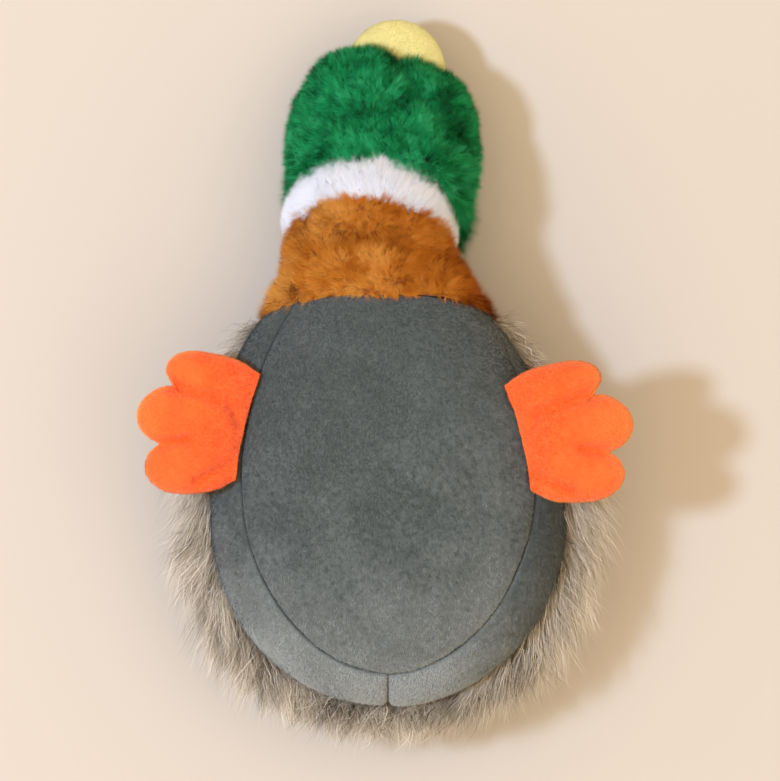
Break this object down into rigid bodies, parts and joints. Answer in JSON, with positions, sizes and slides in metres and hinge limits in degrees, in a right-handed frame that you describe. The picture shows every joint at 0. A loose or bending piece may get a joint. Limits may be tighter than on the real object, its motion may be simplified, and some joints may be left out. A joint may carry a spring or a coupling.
{
  "type": "plush duck",
  "caption": "Stuffed mallard duck lying on its back, with a furry back, a soft neck that bends and turns, and padded three-toed feet that flap on their seams.",
  "frame": {"origin": "on the flat resting patch under the furry back, midway across the body", "axes": "+Z from the floor up to the belly, +Y from the tail to the head, +X to the right with the belly up and the head away"},
  "size_m": [0.2231, 0.3191, 0.1121],
  "materials": {
    "grey_velboa": "short brushed nap, matte",
    "grey_velboa_rim": "short brushed nap, matte",
    "beige_long_pile": "long grey-beige pile, light tips",
    "brown_plush": "fluffy plush pile",
    "white_plush": "fluffy plush pile",
    "green_plush": "fluffy plush pile",
    "yellow_fleece": "smooth short nap",
    "orange_fleece": "smooth short nap",
    "polyester_fibre": "loose fibre filling",
    "black_plastic": "polished dome",
    "white_plastic": "moulded washer"
  },
  "bodies": {
    "torso": {"belly_panel": "grey_velboa", "rim_left": "grey_velboa_rim", "rim_right": "grey_velboa_rim", "back_cover": "beige_long_pile", "chest_cover": "brown_plush", "torso_fill": "polyester_fibre"},
    "neck": {"collar": "white_plush", "neck_fill": "polyester_fibre"},
    "head": {"head_cover_left": "green_plush", "head_cover_right": "green_plush", "head_fill": "polyester_fibre", "beak_lower": "yellow_fleece", "beak_upper": "yellow_fleece", "beak_fill": "polyester_fibre", "eye_left": "black_plastic", "eye_right": "black_plastic", "eye_washer_left": "white_plastic", "eye_washer_right": "white_plastic"},
    "foot_left": {"foot_left_upper": "orange_fleece", "foot_left_lower": "orange_fleece", "foot_left_fill": "polyester_fibre"},
    "foot_right": {"foot_right_upper": "orange_fleece", "foot_right_lower": "orange_fleece", "foot_right_fill": "polyester_fibre"}
  },
  "joints": [
    {"name": "neck_nod", "type": "hinge", "parent": "torso", "child": "neck", "pos_m": [-0.00559, 0.13372, 0.0585], "axis": [0.9914, -0.1305, 0], "range_deg": [-20, 20], "stiffness_Nm_per_rad": 0.35},
    {"name": "head_turn", "type": "hinge", "parent": "neck", "child": "head", "pos_m": [-0.00599, 0.1307, 0.06033], "axis": [0.1119, 0.8498, -0.515], "range_deg": [-25, 25], "stiffness_Nm_per_rad": 0.2},
    {"name": "foot_left_flap", "type": "hinge", "parent": "torso", "child": "foot_left", "pos_m": [-0.062, 0.0346, 0.09602], "axis": [0.2199, 0.9755, 0], "range_deg": [-15, 85], "stiffness_Nm_per_rad": 0.03},
    {"name": "foot_right_flap", "type": "hinge", "parent": "torso", "child": "foot_right", "pos_m": [0.057, 0.0297, 0.09836], "axis": [0.2419, -0.9703, 0], "range_deg": [-15, 85], "stiffness_Nm_per_rad": 0.03}
  ]
}
